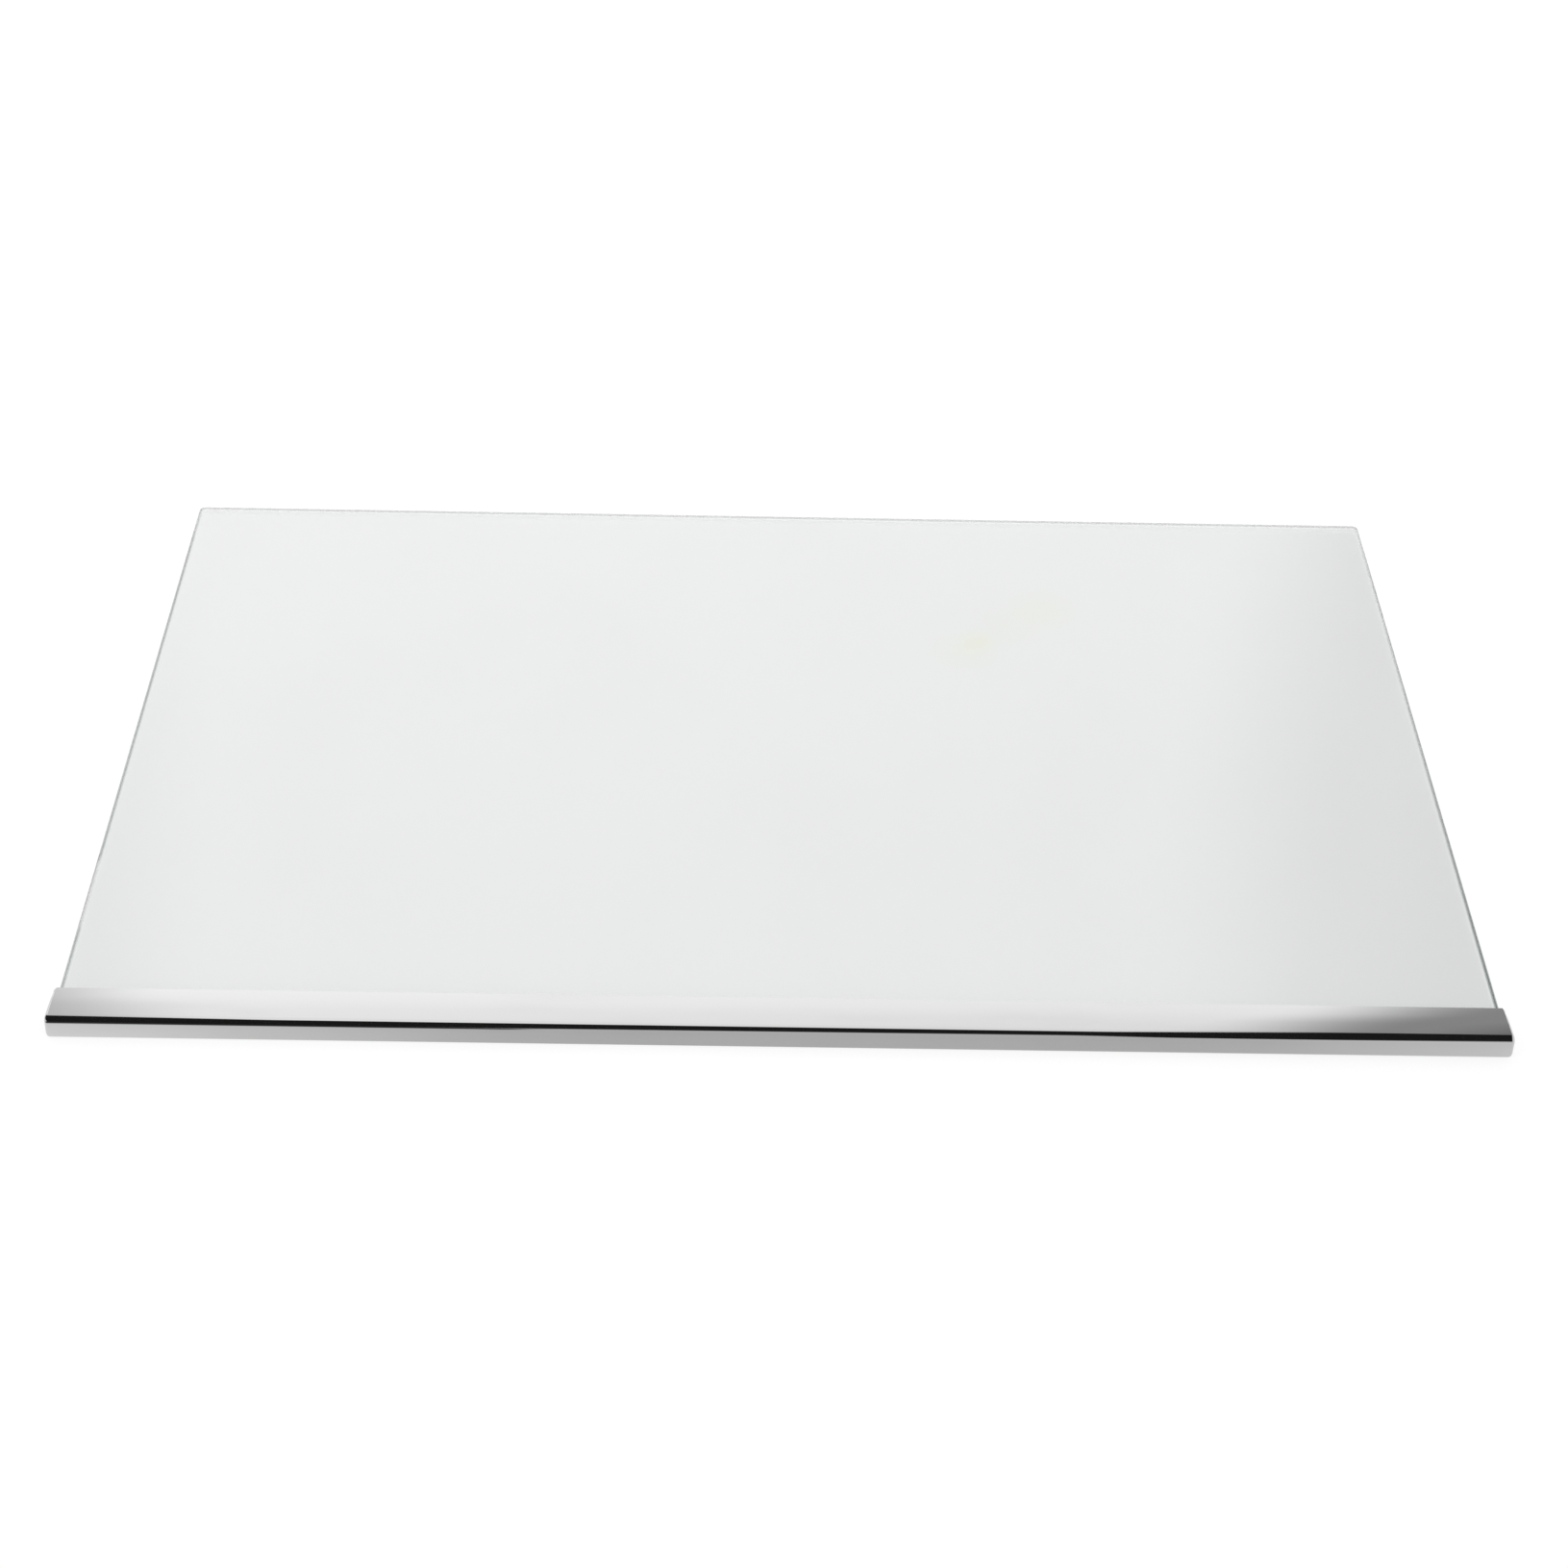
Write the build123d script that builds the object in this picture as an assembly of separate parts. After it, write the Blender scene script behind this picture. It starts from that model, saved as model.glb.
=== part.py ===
from build123d import *
import math
import os

# Fridge shelf: a tempered glass pane with a plated moulding pushed onto its front edge.
# X runs along the front edge, +Y to the back of the fridge, +Z up, in millimetres.
# The origin is the middle of the part's footprint, level with the underside of the moulding.

# Glass pane
glass_width = 470.0
glass_depth = 316.0
glass_thickness = 4.0
glass_corner_radius = 2.5
glass_edge_radius = 1.0

# Front trim, outer form
trim_depth = 18.0
top_slope = 6.0
top_crown = 0.4
lip_thickness = 0.7
lip_overhang = 2.0
nose_radius = 2.2
sill_radius = 1.0
end_radius = 1.0
rear_corner_radius = 2.0
lower_corner_radius = 2.6
lip_bevel = 0.3
lower_bevel = 0.4

# Front trim, walls
front_wall = 2.2
lower_wall = 1.2
end_wall = 1.2
slot_corner_radius = 0.8
lead_in = 0.5

# Fit of the trim on the glass
glass_grip = 12.0
side_clearance = 0.2
top_clearance = 0.1

# Ribs inside the slot, which stop the glass and press it up against the top flange
rib_height = 0.2
rib_width = 1.5
rib_pitch = 39.0
rib_end_margin = 20.0
rib_setback = 1.5
rib_ramp = 1.5

# Places worked out from the sizes above
trim_length = glass_width + 2 * (side_clearance + end_wall)
overall_depth = trim_depth + glass_depth - glass_grip
front_y = -overall_depth / 2
lip_y = front_y + trim_depth
lower_y = lip_y - lip_overhang
slot_front_y = front_y + front_wall
glass_front_y = lip_y - glass_grip
slot_floor_z = lower_wall
glass_bottom_z = slot_floor_z + rib_height
glass_top_z = glass_bottom_z + glass_thickness
slot_roof_z = glass_top_z + top_clearance
lip_top_z = slot_roof_z + lip_thickness
slope = math.radians(top_slope)
nose_top_z = lip_top_z + trim_depth * math.tan(slope)
crest_y = front_y + trim_depth / 2 + top_crown * math.sin(slope)
crest_z = (lip_top_z + nose_top_z) / 2 + top_crown * math.cos(slope)


def along_x(section, length):
    """Extrude a section, drawn with Y and Z, to both sides of the middle."""
    return extrude(Plane.YZ * section, length / 2, both=True)


def make_glass():
    """A flat pane with rounded corners, ground round along every edge."""
    outline = RectangleRounded(glass_width, glass_depth, glass_corner_radius)
    middle_y = glass_front_y + glass_depth / 2
    pane = extrude(Pos(0, middle_y, glass_bottom_z) * outline, glass_thickness)
    rims = pane.faces().sort_by(Axis.Z)
    return fillet(rims[0].edges() + rims[-1].edges(), glass_edge_radius)


def trim_section():
    """The trim's outline seen from its end: crowned top, front nose and sill, rear lip and flange."""
    walls = Polyline(
        (lip_y, lip_top_z),
        (lip_y, slot_roof_z),
        (lower_y, slot_roof_z),
        (lower_y, 0),
        (front_y, 0),
        (front_y, nose_top_z),
    )
    top = ThreePointArc((front_y, nose_top_z), (crest_y, crest_z), (lip_y, lip_top_z))
    outline = make_face(walls + top)
    for corner, radius in (((front_y, 0), sill_radius), ((front_y, nose_top_z), nose_radius)):
        outline = fillet(outline.vertices().sort_by_distance(corner)[0], radius)
    for corner, bevel in (((lip_y, lip_top_z), lip_bevel), ((lower_y, 0), lower_bevel)):
        outline = chamfer(outline.vertices().sort_by_distance(corner)[0], bevel)
    return outline


def trim_plan():
    """The trim's outline seen from above, rounded at the corners of its lip."""
    outline = Pos(0, front_y + trim_depth / 2) * Rectangle(trim_length, trim_depth)
    return fillet(outline.vertices().group_by(Axis.Y)[-1], rear_corner_radius)


def trim_front():
    """The trim's outline seen from the front, rounded at its lower corners."""
    outline = Pos(0, nose_top_z) * Rectangle(trim_length, 2 * nose_top_z)
    return fillet(outline.vertices().group_by(Axis.Y)[0], lower_corner_radius)


def make_trim_body():
    """The section drawn out, its ends rounded from lip to sill, then cut to the other two outlines."""
    body = along_x(trim_section(), trim_length)
    for end_x in (-trim_length / 2, trim_length / 2):
        rim = body.edges().sort_by_distance((end_x, front_y, nose_top_z))[0]
        body = fillet(rim, end_radius)
    front_plane = Plane(origin=(0, front_y, 0), x_dir=(1, 0, 0), z_dir=(0, -1, 0))
    body &= extrude(trim_plan(), 2 * nose_top_z)
    body &= extrude(front_plane * trim_front(), -trim_depth)
    return body


def make_slot():
    """The space for the front edge of the glass, open to the back."""
    width = glass_width + 2 * side_clearance
    height = slot_roof_z - slot_floor_z
    length = trim_depth
    corner = (0, slot_front_y, slot_floor_z)
    slot = Pos(corner) * Box(width, length, height, align=(Align.CENTER, Align.MIN, Align.MIN))
    inner = slot.faces().sort_by(Axis.Y)[0]
    return fillet(inner.edges() + slot.edges().filter_by(Axis.Y), slot_corner_radius)


def make_rib():
    """An L-shaped rib: a low pad under the glass and a stop in front of its edge."""
    root_y = slot_front_y - front_wall / 2
    root_z = slot_floor_z - lower_wall / 2
    stop_top_z = slot_roof_z + lip_thickness / 2
    pad_y = lower_y - rib_setback
    section = make_face(
        Polyline(
            (root_y, root_z),
            (pad_y, root_z),
            (pad_y, slot_floor_z),
            (pad_y - rib_ramp, glass_bottom_z),
            (glass_front_y, glass_bottom_z),
            (glass_front_y, stop_top_z),
            (root_y, stop_top_z),
            close=True,
        )
    )
    return along_x(section, rib_width)


def make_trim():
    """The whole moulding: body, slot, lead-in at the slot's mouth, and ribs."""
    body = make_trim_body() - make_slot()
    mouth = body.edges().filter_by(Axis.X).sort_by_distance((0, lower_y, slot_floor_z))[0]
    body = chamfer(mouth, lead_in)
    count = int((glass_width - 2 * rib_end_margin) // rib_pitch) + 1
    rib = make_rib()
    ribs = [place * rib for place in GridLocations(rib_pitch, 0, count, 1)]
    return body + ribs


os.makedirs("parts", exist_ok=True)
export_step(make_glass(), "parts/glass_pane.step")
export_step(make_trim(), "parts/front_trim.step")
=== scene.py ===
import math

import bpy
import numpy as np
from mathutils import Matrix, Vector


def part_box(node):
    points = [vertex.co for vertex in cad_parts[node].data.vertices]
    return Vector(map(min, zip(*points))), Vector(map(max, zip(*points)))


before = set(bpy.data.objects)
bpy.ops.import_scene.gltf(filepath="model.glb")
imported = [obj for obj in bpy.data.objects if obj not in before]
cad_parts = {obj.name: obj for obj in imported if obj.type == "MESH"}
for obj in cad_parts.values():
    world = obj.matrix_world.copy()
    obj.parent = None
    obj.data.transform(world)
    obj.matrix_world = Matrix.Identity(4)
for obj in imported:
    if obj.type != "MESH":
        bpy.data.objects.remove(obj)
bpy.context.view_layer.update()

mm = 0.001
scene = bpy.context.scene
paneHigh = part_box("glass_pane")[1]
print("frame loaded:", sorted(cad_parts))


# node helpers: a socket as a value is linked, anything else is set on the input
def addNode(tree, kind, inputs=None, **settings):
    node = tree.nodes.new("ShaderNode" + kind)
    for name, value in settings.items():
        setattr(node, name, value)
    for key, value in (inputs or {}).items():
        if isinstance(value, bpy.types.NodeSocket):
            tree.links.new(value, node.inputs[key])
        else:
            node.inputs[key].default_value = value
    return node


def calc(tree, operation, *values, clamp=False):
    inputs = dict(enumerate(values))
    return addNode(tree, "Math", inputs, operation=operation, use_clamp=clamp).outputs[0]


# 0 up to low, 1 from high on, with a soft step between; high below low turns it round
def softStep(tree, value, low, high):
    inputs = {"Value": value, "From Min": low, "From Max": high}
    return addNode(tree, "MapRange", inputs, interpolation_type="SMOOTHSTEP").outputs["Result"]


# first up to low, last from high on, with a straight run between
def ramp(tree, value, low, high, first, last):
    inputs = {"Value": value, "From Min": low, "From Max": high, "To Min": first, "To Max": last}
    return addNode(tree, "MapRange", inputs).outputs["Result"]


def noise(tree, place, scale, detail):
    inputs = {"Vector": place, "Scale": scale, "Detail": detail}
    return addNode(tree, "TexNoise", inputs).outputs[0]


# noise with a scale of its own for each axis
def stretchedNoise(tree, place, scales, detail):
    stretched = addNode(tree, "VectorMath", {0: place, 1: scales}, operation="MULTIPLY")
    return noise(tree, stretched.outputs[0], 1.0, detail)


def mixColors(tree, factor, first, second):
    inputs = {"Factor": factor, "A": first, "B": second}
    node = tree.nodes.new("ShaderNodeMix")
    node.data_type = "RGBA"
    for socket in node.inputs:
        value = inputs.get(socket.name)
        if value is None or not socket.enabled:
            continue
        if isinstance(value, bpy.types.NodeSocket):
            tree.links.new(value, socket)
        else:
            socket.default_value = value
    return next(s for s in node.outputs if s.enabled)


def gray(level):
    return (level, level, level, 1.0)


def newMaterial(name):
    material = bpy.data.materials.new(name)
    material.use_nodes = True
    material.node_tree.nodes.clear()
    return material, material.node_tree


# handling marks, used by the glass and the plating: fine straight hairlines and wide soft smears
marksLook = {
    "smearDetail": 4.0,
    "smearEdge": (0.42, 0.72),     # noise levels between which a mark fades in
    "hairlineDetail": 1.0,
    "hairlineEdge": (0.60, 0.74),
    "unwipedShare": 0.35,          # how much of the hairlines is left where nothing was wiped
}


def makeHandlingMarks(look):
    tree = bpy.data.node_groups.new("handlingMarks", "ShaderNodeTree")
    for name, kind in (("Place", "Vector"), ("Hairline Scale", "Vector"), ("Smear Scale", "Vector")):
        tree.interface.new_socket(name, in_out="INPUT", socket_type="NodeSocket" + kind)
    for name in ("Hairlines", "Smears"):
        tree.interface.new_socket(name, in_out="OUTPUT", socket_type="NodeSocketFloat")
    given = tree.nodes.new("NodeGroupInput").outputs
    result = tree.nodes.new("NodeGroupOutput").inputs

    wide = stretchedNoise(tree, given["Place"], given["Smear Scale"], look["smearDetail"])
    fine = stretchedNoise(tree, given["Place"], given["Hairline Scale"], look["hairlineDetail"])
    smears = softStep(tree, wide, *look["smearEdge"])
    lines = softStep(tree, fine, *look["hairlineEdge"])
    wiped = ramp(tree, smears, 0.0, 1.0, look["unwipedShare"], 1.0)
    tree.links.new(calc(tree, "MULTIPLY", lines, wiped), result["Hairlines"])
    tree.links.new(smears, result["Smears"])
    return tree


handlingMarks = makeHandlingMarks(marksLook)


def addMarks(tree, place, look):
    node = tree.nodes.new("ShaderNodeGroup")
    node.node_tree = handlingMarks
    tree.links.new(place, node.inputs["Place"])
    node.inputs["Hairline Scale"].default_value = look["hairlineScale"]
    node.inputs["Smear Scale"].default_value = look["smearScale"]
    return node.outputs["Hairlines"], node.outputs["Smears"]


# glass pane: clear float glass, faintly green, with ground round edges
paneLook = {
    "tint": (0.900, 0.914, 0.907, 1.0),
    "smearTint": (0.890, 0.903, 0.896, 1.0),
    "roughness": (0.0, 0.02),                  # clean face, smeared face
    "ior": 1.52,
    "passTint": (0.840, 0.843, 0.8415, 1.0),   # for light on its way to the floor
    "hairlineScale": (9.0, 900.0, 900.0),      # all scales are per metre
    "smearScale": (14.0, 9.0, 9.0),
    # a wiped streak of spots: x, y and reach in metres, and strength
    "smudges": [
        (0.070, 0.066, 0.018, 0.30), (0.075, 0.072, 0.011, 0.75),
        (0.087, 0.083, 0.018, 0.20), (0.101, 0.096, 0.018, 0.40),
    ],
    "smudgeTint": (0.886, 0.908, 0.749, 1.0),
    "patchScale": 120.0,                       # patches that make the streak uneven
    "patchDetail": 3.0,
    "patchEdge": (0.4, 0.7),
    "patchShare": 0.6,                         # what is left of the streak between patches
    "edgeWidth": (0.75 * mm, 1.0 * mm),        # all ground, all clear
    "edgeTint": (0.60, 0.655, 0.635, 1.0),     # the left edge
    "edgePaintedLight": (0.99, 1.0, 0.995, 1.0),       # a paler stretch of it: painted light
    "paleStart": (-0.112, -0.105),             # metres along y, where the stretch fades in
    "paleEnd": (-0.068, -0.075),
    "edgeFrontPaintedShade": (0.258, 0.312, 0.297, 1.0),   # the right edge, at its front: painted shade
    "edgeRearPaintedLight": (0.985, 1.0, 0.99, 1.0),       # the right edge, at its rear: painted light
    "edgeRun": (-0.13, 0.10),                  # metres along y, between the two
    "edgeBack": (0.97, 0.985, 0.98, 1.0),      # the rear edge
    "edgeRoughness": (0.35, 0.72),             # sides, then the rear and wherever a side is pale
    "grainScale": 2600.0,
    "grainDetail": 2.0,
    "grainEdge": (0.35, 0.65),
    "grainShare": 0.85,                        # the tint's share left in the grain's darkest spots
    "grainStrength": 0.4,
    "grainHeight": 0.05 * mm,
}


def glassMaterial(look):
    material, tree = newMaterial("paneGlass")
    place = addNode(tree, "TexCoord").outputs["Object"]
    axes = addNode(tree, "SeparateXYZ", {0: place}).outputs
    hairlines, smears = addMarks(tree, place, look)

    # 1 on the ground edge, 0 on the two faces: how far a point is inside the nearest side
    sideways = calc(tree, "SUBTRACT", paneHigh.x, calc(tree, "ABSOLUTE", axes["X"]))
    backwards = calc(tree, "SUBTRACT", paneHigh.y, axes["Y"])
    narrow, wide = look["edgeWidth"]
    edge = softStep(tree, calc(tree, "MINIMUM", sideways, backwards), wide, narrow)
    back = softStep(tree, backwards, wide, narrow)

    face = mixColors(tree, smears, look["tint"], look["smearTint"])
    patches = noise(tree, place, look["patchScale"], look["patchDetail"])
    patches = softStep(tree, patches, *look["patchEdge"])
    uneven = ramp(tree, patches, 0.0, 1.0, look["patchShare"], 1.0)
    for x, y, reach, strength in look["smudges"]:
        apart = addNode(tree, "VectorMath", {0: place, 1: (x, y, paneHigh.z)}, operation="DISTANCE")
        fade = ramp(tree, softStep(tree, apart.outputs["Value"], reach, 0.0), 0.0, 1.0, 0.0, strength)
        face = mixColors(tree, calc(tree, "MULTIPLY", fade, uneven), face, look["smudgeTint"])

    # painted shade and light on the ground edge: the right edge runs from dark at its front to pale at
    # its rear, and the left edge has a pale stretch
    right = softStep(tree, axes["X"], 0.0, paneHigh.x)
    along = ramp(tree, axes["Y"], *look["edgeRun"], 0.0, 1.0)
    pale = calc(tree, "MULTIPLY", softStep(tree, axes["Y"], *look["paleStart"]),
                softStep(tree, axes["Y"], *look["paleEnd"]))
    leftTintAndPaintedLight = mixColors(tree, pale, look["edgeTint"], look["edgePaintedLight"])
    rightPaintedShadeAndLight = mixColors(tree, along, look["edgeFrontPaintedShade"], look["edgeRearPaintedLight"])
    ground = mixColors(tree, right, leftTintAndPaintedLight, rightPaintedShadeAndLight)
    grain = noise(tree, place, look["grainScale"], look["grainDetail"])
    spots = softStep(tree, grain, *look["grainEdge"])
    share = ramp(tree, spots, 0.0, 1.0, 1.0, look["grainShare"])
    ground = addNode(tree, "VectorMath", {0: ground, 1: share}, operation="MULTIPLY").outputs[0]
    ground = mixColors(tree, back, ground, look["edgeBack"])
    color = mixColors(tree, edge, face, ground)

    faceRough = ramp(tree, calc(tree, "MAXIMUM", hairlines, smears), 0.0, 1.0, *look["roughness"])
    matt = calc(tree, "MAXIMUM", back, ramp(tree, right, 0.0, 1.0, pale, along))
    edgeRough = ramp(tree, matt, 0.0, 1.0, *look["edgeRoughness"])
    rough = calc(tree, "MAXIMUM", faceRough, calc(tree, "MULTIPLY", edge, edgeRough))
    coarse = calc(tree, "SUBTRACT", edge, back, clamp=True)  # the rear edge is ground finer
    bump = addNode(tree, "Bump", {
        "Height": calc(tree, "MULTIPLY", grain, coarse),
        "Strength": look["grainStrength"], "Distance": look["grainHeight"],
    })
    glass = addNode(tree, "BsdfPrincipled", {
        "Base Color": color, "Roughness": rough, "IOR": look["ior"], "Transmission Weight": 1.0,
        "Normal": bump.outputs[0],
    })

    # light on its way to the floor passes straight through, so the floor under the pane stays lit
    path = addNode(tree, "LightPath").outputs
    passing = calc(tree, "MAXIMUM", path["Is Shadow Ray"], path["Is Diffuse Ray"])
    clear = addNode(tree, "BsdfTransparent", {"Color": look["passTint"]})
    both = addNode(tree, "MixShader", {0: passing, 1: glass.outputs[0], 2: clear.outputs[0]})
    addNode(tree, "OutputMaterial", {"Surface": both.outputs[0]})
    return material


# front trim: bright plating on a moulding, very slightly wavy as plated plastic is
trimLook = {
    "color": gray(0.62),
    "smearColor": gray(0.597),
    "roughness": (0.035, 0.10),    # clean plating, scratched plating
    "smearShare": 0.6,             # how far a smear goes towards the second
    "waveScale": (9.0, 60.0, 60.0),
    "waveHeight": 0.02 * mm,
    "hairlineScale": (30.0, 2400.0, 2400.0),
    "hairlineStrength": 0.5,
    "hairlineDepth": 0.002 * mm,
    "smearScale": (16.0, 60.0, 60.0),
}


def platedMaterial(look):
    material, tree = newMaterial("trimPlating")
    place = addNode(tree, "TexCoord").outputs["Object"]
    hairlines, smears = addMarks(tree, place, look)
    color = mixColors(tree, smears, look["color"], look["smearColor"])
    marked = calc(tree, "MAXIMUM", hairlines, calc(tree, "MULTIPLY", smears, look["smearShare"]))
    rough = ramp(tree, marked, 0.0, 1.0, *look["roughness"])

    waves = stretchedNoise(tree, place, look["waveScale"], 0.0)
    wavy = addNode(tree, "Bump", {"Height": waves, "Strength": 1.0, "Distance": look["waveHeight"]})
    fine = addNode(tree, "Bump", {
        "Height": hairlines, "Strength": look["hairlineStrength"], "Distance": look["hairlineDepth"],
        "Normal": wavy.outputs[0],
    }, invert=True)
    plating = addNode(tree, "BsdfPrincipled", {
        "Base Color": color, "Metallic": 1.0, "Roughness": rough, "Normal": fine.outputs[0],
    })
    addNode(tree, "OutputMaterial", {"Surface": plating.outputs[0]})
    return material


def dress(node, material):
    node.data.materials.clear()
    node.data.materials.append(material)


dress(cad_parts["glass_pane"], glassMaterial(paneLook))
dress(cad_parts["front_trim"], platedMaterial(trimLook))
print("materials made")


# floor: a pale sheet, with painted light that makes it a little brighter at the left rear; what looks
# at it sees mostly its own light and a share that keeps the shadow. Seen through the pane it is
# dimmer, a painted shadow of the pane. In mirrors it has painted shade in the middle, to go with the
# studio's dark card, and further out at the left
floorLook = {
    "halfWidth": 4.0,
    "drop": 0.05 * mm,
    "cells": 8,
    "color": gray(0.85),
    "glowShare": 0.7,
    "glow": (1.10, 1.19),          # right front, rear
    "glowReach": 0.34,             # metres each way
    "glowLeft": -0.04,             # further left it stays as it is here
    "underPane": (0.14, 0.21, 0.865, 0.885),   # painted shadow of the pane, seen through it: x from, x to, and the light's share at each
    "paintedMiddleShade": 0.46,             # painted shade in mirrors: the light taken away in the middle
    "shadeMiddle": 0.03,
    "shadeReach": (0.07, 0.33),    # metres from the shade's middle: full shade, no shade
    "paintedLeftShade": 0.95,             # and the painted shade in mirrors further out at the left
    "paintedLeftSide": (-0.076, -0.092),
    "paintedLeftFront": (-0.168, -0.184),
    "nearGain": (-0.168, -0.162, 0.92, 1.10),  # painted light in mirrors close to the trim: y from, y to, and the light's share
}


# a flat grid: x and y run over the square, z is constant
def gridMesh(name, xs, ys, zs):
    rows, columns = xs.shape
    points = np.stack([xs, ys, zs], axis=-1).reshape(-1, 3)
    index = np.arange(rows * columns).reshape(rows, columns)
    corners = [index[:-1, :-1], index[:-1, 1:], index[1:, 1:], index[1:, :-1]]
    faces = np.stack(corners, axis=-1).reshape(-1, 4)
    mesh = bpy.data.meshes.new(name)
    mesh.from_pydata(points.tolist(), [], faces.tolist())
    return mesh


def floorMaterial(look):
    material, tree = newMaterial("floorPaper")
    path = addNode(tree, "LightPath").outputs
    through = path["Is Transmission Ray"]
    mirrored = calc(tree, "SUBTRACT", path["Is Glossy Ray"], through, clamp=True)
    looked = calc(tree, "MAXIMUM", path["Is Camera Ray"], calc(tree, "MAXIMUM", mirrored, through))

    place = addNode(tree, "TexCoord").outputs["Object"]
    axes = addNode(tree, "SeparateXYZ", {0: place}).outputs
    # painted light: the glow is brighter towards the left rear
    toRear = calc(tree, "SUBTRACT", axes["Y"], calc(tree, "MAXIMUM", axes["X"], look["glowLeft"]))
    light = ramp(tree, toRear, -look["glowReach"], look["glowReach"], *look["glow"])
    # seen through the pane the floor is dimmer: a painted shadow of the pane
    under = ramp(tree, axes["X"], *look["underPane"])
    light = calc(tree, "MULTIPLY", light, ramp(tree, through, 0.0, 1.0, 1.0, under))

    # in mirrors the middle is painted darker, to go with the studio's dark card
    near, far = look["shadeReach"]
    aside = calc(tree, "ABSOLUTE", calc(tree, "SUBTRACT", axes["X"], look["shadeMiddle"]))
    shade = calc(tree, "MULTIPLY", softStep(tree, aside, far, near), look["paintedMiddleShade"])
    # in mirrors, further out at the left: painted shade
    paintedLeftShadeMask = calc(tree, "MULTIPLY", softStep(tree, axes["Y"], *look["paintedLeftFront"]), look["paintedLeftShade"])
    paintedLeftShadeMask = calc(tree, "MULTIPLY", paintedLeftShadeMask, softStep(tree, axes["X"], *look["paintedLeftSide"]))
    paintedLeftShadeMask = calc(tree, "MULTIPLY", paintedLeftShadeMask, mirrored)
    shade = calc(tree, "MAXIMUM", calc(tree, "MULTIPLY", shade, mirrored), paintedLeftShadeMask)
    light = calc(tree, "MULTIPLY", light, calc(tree, "SUBTRACT", 1.0, shade))
    # in mirrors, close to the trim: painted light, brighter right at it and dimmer a little further
    # out
    gain = ramp(tree, axes["Y"], *look["nearGain"])
    light = calc(tree, "MULTIPLY", light, ramp(tree, mirrored, 0.0, 1.0, 1.0, gain))

    # the paper's colour goes black under the painted shade at the left, for mirrors only
    paper = addNode(tree, "BsdfDiffuse", {"Color": mixColors(tree, paintedLeftShadeMask, look["color"], gray(0.0))})
    glow = addNode(tree, "Emission", {"Strength": light})
    share = calc(tree, "MULTIPLY", looked, look["glowShare"])
    both = addNode(tree, "MixShader", {0: share, 1: paper.outputs[0], 2: glow.outputs[0]})
    addNode(tree, "OutputMaterial", {"Surface": both.outputs[0]})
    return material


def makeFloor(look):
    line = np.linspace(-look["halfWidth"], look["halfWidth"], look["cells"] + 1)
    xs, ys = np.meshgrid(line, line)
    zs = np.full_like(xs, -look["drop"])
    floor = bpy.data.objects.new("studioFloor", gridMesh("studioFloor", xs, ys, zs))
    scene.collection.objects.link(floor)
    floor.data.materials.append(floorMaterial(look))


makeFloor(floorLook)
print("floor laid")


# studio: even white light all round; mirrors and glass see a white screen that rises behind and
# bends forward overhead, grey walls beside it, pale sides further out, and a dark card over the
# camera's side. across is a direction's x part; swing, in degrees, turns about the x axis: 0 behind,
# 90 overhead, 180 in front
studio = {
    "lightLevel": 1.0,
    "screenLevel": 1.30,
    "screenAcross": (-0.15, 0.15, 1.04, 0.96),  # from, to, and the light's share at each
    "screenRise": (22, 38, 1.0, 0.87),
    "screenLeft": (21, 35, -0.212, -0.194),     # its edges lean in between two swings
    "screenRight": (17, 36, 0.2265, 0.1640),
    "screenSoftness": (0.03, 0.035),            # left edge, right edge
    "wallLevel": (-0.2, 0.2, 0.70, 0.36),
    "cardLevel": 0.014,
    # across and swing along the card's two edges
    "cardRear": [
        (-0.25, 44), (-0.15, 86), (0.12, 85), (0.185, 43),
        (0.2, 38.5), (0.215, 34), (0.228, 31), (0.25, 28),
    ],
    "cardFront": [(-0.25, 184), (-0.11, 190), (-0.07, 179), (0.11, 163), (0.15, 191), (0.25, 160)],
    "cardRearSoftness": (-1.5, 12),             # outside the card, inside it
    "cardFrontSoftness": 10,
    "cardReach": 0.25,                          # across, to either side
    "frontLevel": 0.62,                         # in front, below the card
    "sideLevel": (-0.3, 0.3, 1.4, 0.22),        # beside the walls, left and right
    "sideStart": (0.26, 0.36),
    "farLevel": 0.9,                            # further out to either side
    "farStart": (0.38, 0.52),
    "farHeight": (0.42, 0.30),                  # out there, the card's lower edge: all there, gone
}


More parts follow.
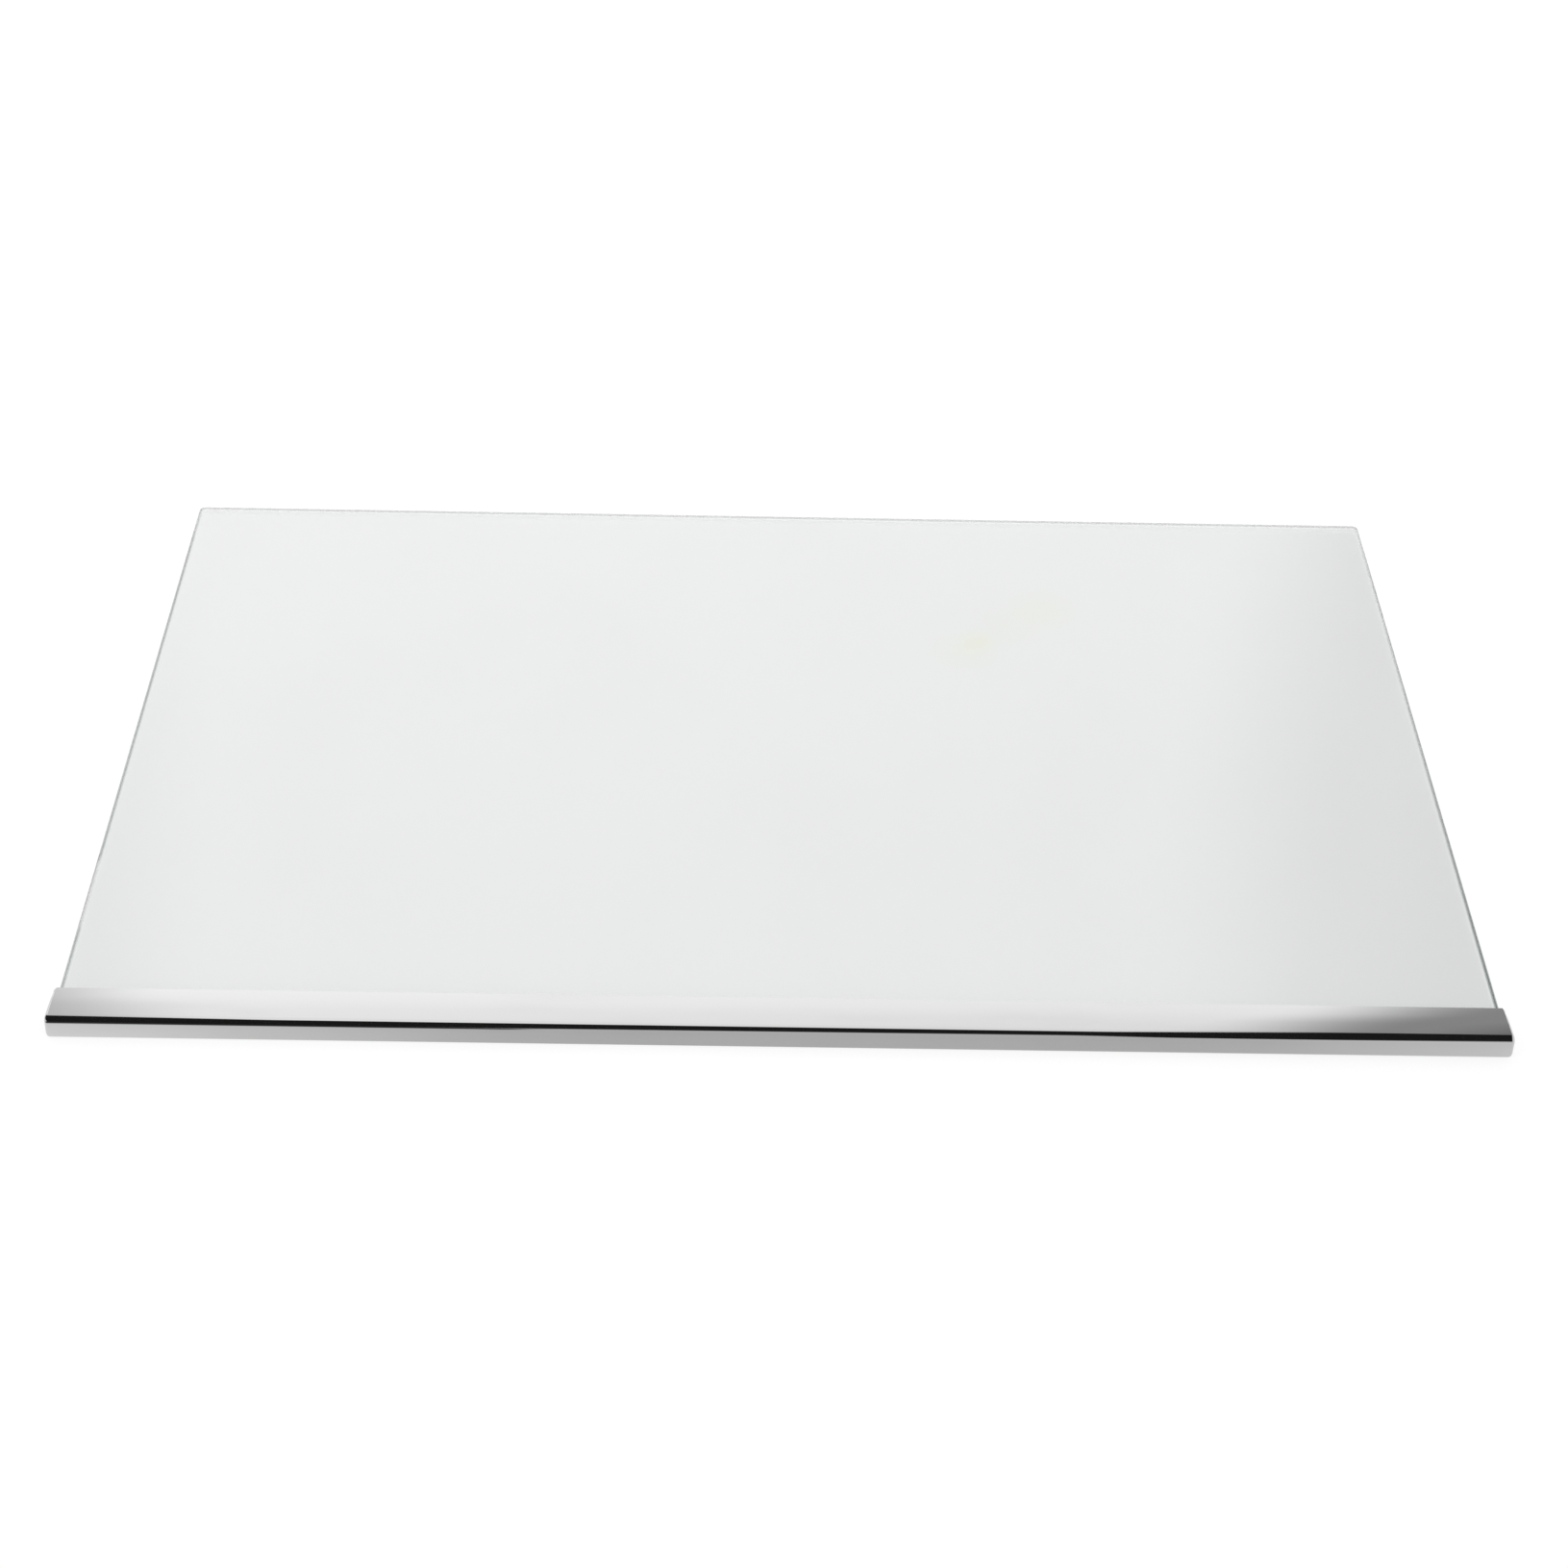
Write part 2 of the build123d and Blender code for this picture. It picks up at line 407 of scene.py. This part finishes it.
def studioPicture(tree, look):
    seen = addNode(tree, "TexCoord").outputs["Generated"]
    across, ahead, up = addNode(tree, "SeparateXYZ", {0: seen}).outputs
    turn = calc(tree, "ARCTAN2", calc(tree, "ABSOLUTE", up), ahead)
    swing = calc(tree, "DEGREES", turn)

    # 1 past an edge that itself runs over the picture
    def past(value, edge, softness):
        return softStep(tree, calc(tree, "SUBTRACT", value, edge), -softness, softness)

    # an edge of the card: straight runs between the given points, which a curve takes from 0 to 1
    def cardEdge(points):
        reach, halfTurn = look["cardReach"], 180
        along = ramp(tree, across, -reach, reach, 0.0, 1.0)
        node = addNode(tree, "FloatCurve", {"Value": along})
        curve = node.mapping.curves[0]
        spots = [((x + reach) / (2 * reach), y / halfTurn) for x, y in points]
        for spot in spots[1:-1]:
            curve.points.new(*spot)
        curve.points[0].location = spots[0]
        curve.points[len(spots) - 1].location = spots[-1]
        for point in curve.points:
            point.handle_type = "VECTOR"
        node.mapping.use_clip = False
        node.mapping.update()
        return calc(tree, "MULTIPLY", node.outputs[0], halfTurn)

    leftSoft, rightSoft = look["screenSoftness"]
    fromLeft = past(across, ramp(tree, swing, *look["screenLeft"]), leftSoft)
    fromRight = past(ramp(tree, swing, *look["screenRight"]), across, rightSoft)
    screen = calc(tree, "MULTIPLY", fromLeft, fromRight)
    glow = calc(tree, "MULTIPLY", ramp(tree, across, *look["screenAcross"]), look["screenLevel"])
    glow = calc(tree, "MULTIPLY", glow, ramp(tree, swing, *look["screenRise"]))

    outward = calc(tree, "ABSOLUTE", across)
    sides = softStep(tree, outward, *look["sideStart"])
    far = softStep(tree, outward, *look["farStart"])
    low = calc(tree, "MULTIPLY", far, softStep(tree, up, *look["farHeight"]))
    front = past(swing, cardEdge(look["cardFront"]), look["cardFrontSoftness"])
    inside = calc(tree, "SUBTRACT", swing, cardEdge(look["cardRear"]))
    card = calc(tree, "SUBTRACT", softStep(tree, inside, *look["cardRearSoftness"]), front, clamp=True)
    card = calc(tree, "SUBTRACT", card, softStep(tree, across, *look["sideStart"]), clamp=True)
    card = calc(tree, "SUBTRACT", card, low, clamp=True)

    level = mixColors(tree, screen, ramp(tree, across, *look["wallLevel"]), glow)
    level = mixColors(tree, front, level, gray(look["frontLevel"]))
    level = mixColors(tree, sides, level, ramp(tree, across, *look["sideLevel"]))
    level = mixColors(tree, far, level, gray(look["farLevel"]))
    return mixColors(tree, card, level, gray(look["cardLevel"]))


def makeStudio(look):
    world = bpy.data.worlds.new("studio")
    scene.world = world
    world.use_nodes = True
    tree = world.node_tree
    tree.nodes.clear()
    path = addNode(tree, "LightPath").outputs
    mirrored = calc(tree, "MAXIMUM", path["Is Glossy Ray"], path["Is Transmission Ray"])
    color = mixColors(tree, mirrored, gray(look["lightLevel"]), studioPicture(tree, look))
    color = mixColors(tree, path["Is Camera Ray"], color, gray(1.0))
    sky = addNode(tree, "Background", {"Color": color, "Strength": 1.0})
    addNode(tree, "OutputWorld", {"Surface": sky.outputs[0]})


makeStudio(studio)
print("studio lit")


# camera: the photograph's place, tilt and lens
cameraPlace = {
    "location": (-14.766 * mm, -909.737 * mm, 651.241 * mm),
    "turn": (53.9027, -1.1962, -0.1493),  # degrees about x, y and z
    "lens": 70.418,
    "sensor": 36.0,
}


def makeCamera(place):
    data = bpy.data.cameras.new("studioCamera")
    data.lens = place["lens"]
    data.sensor_width = place["sensor"]
    camera = bpy.data.objects.new("studioCamera", data)
    camera.location = place["location"]
    camera.rotation_euler = [math.radians(a) for a in place["turn"]]
    scene.collection.objects.link(camera)
    scene.camera = camera


makeCamera(cameraPlace)
scene.view_settings.view_transform = "Standard"
print("camera set")
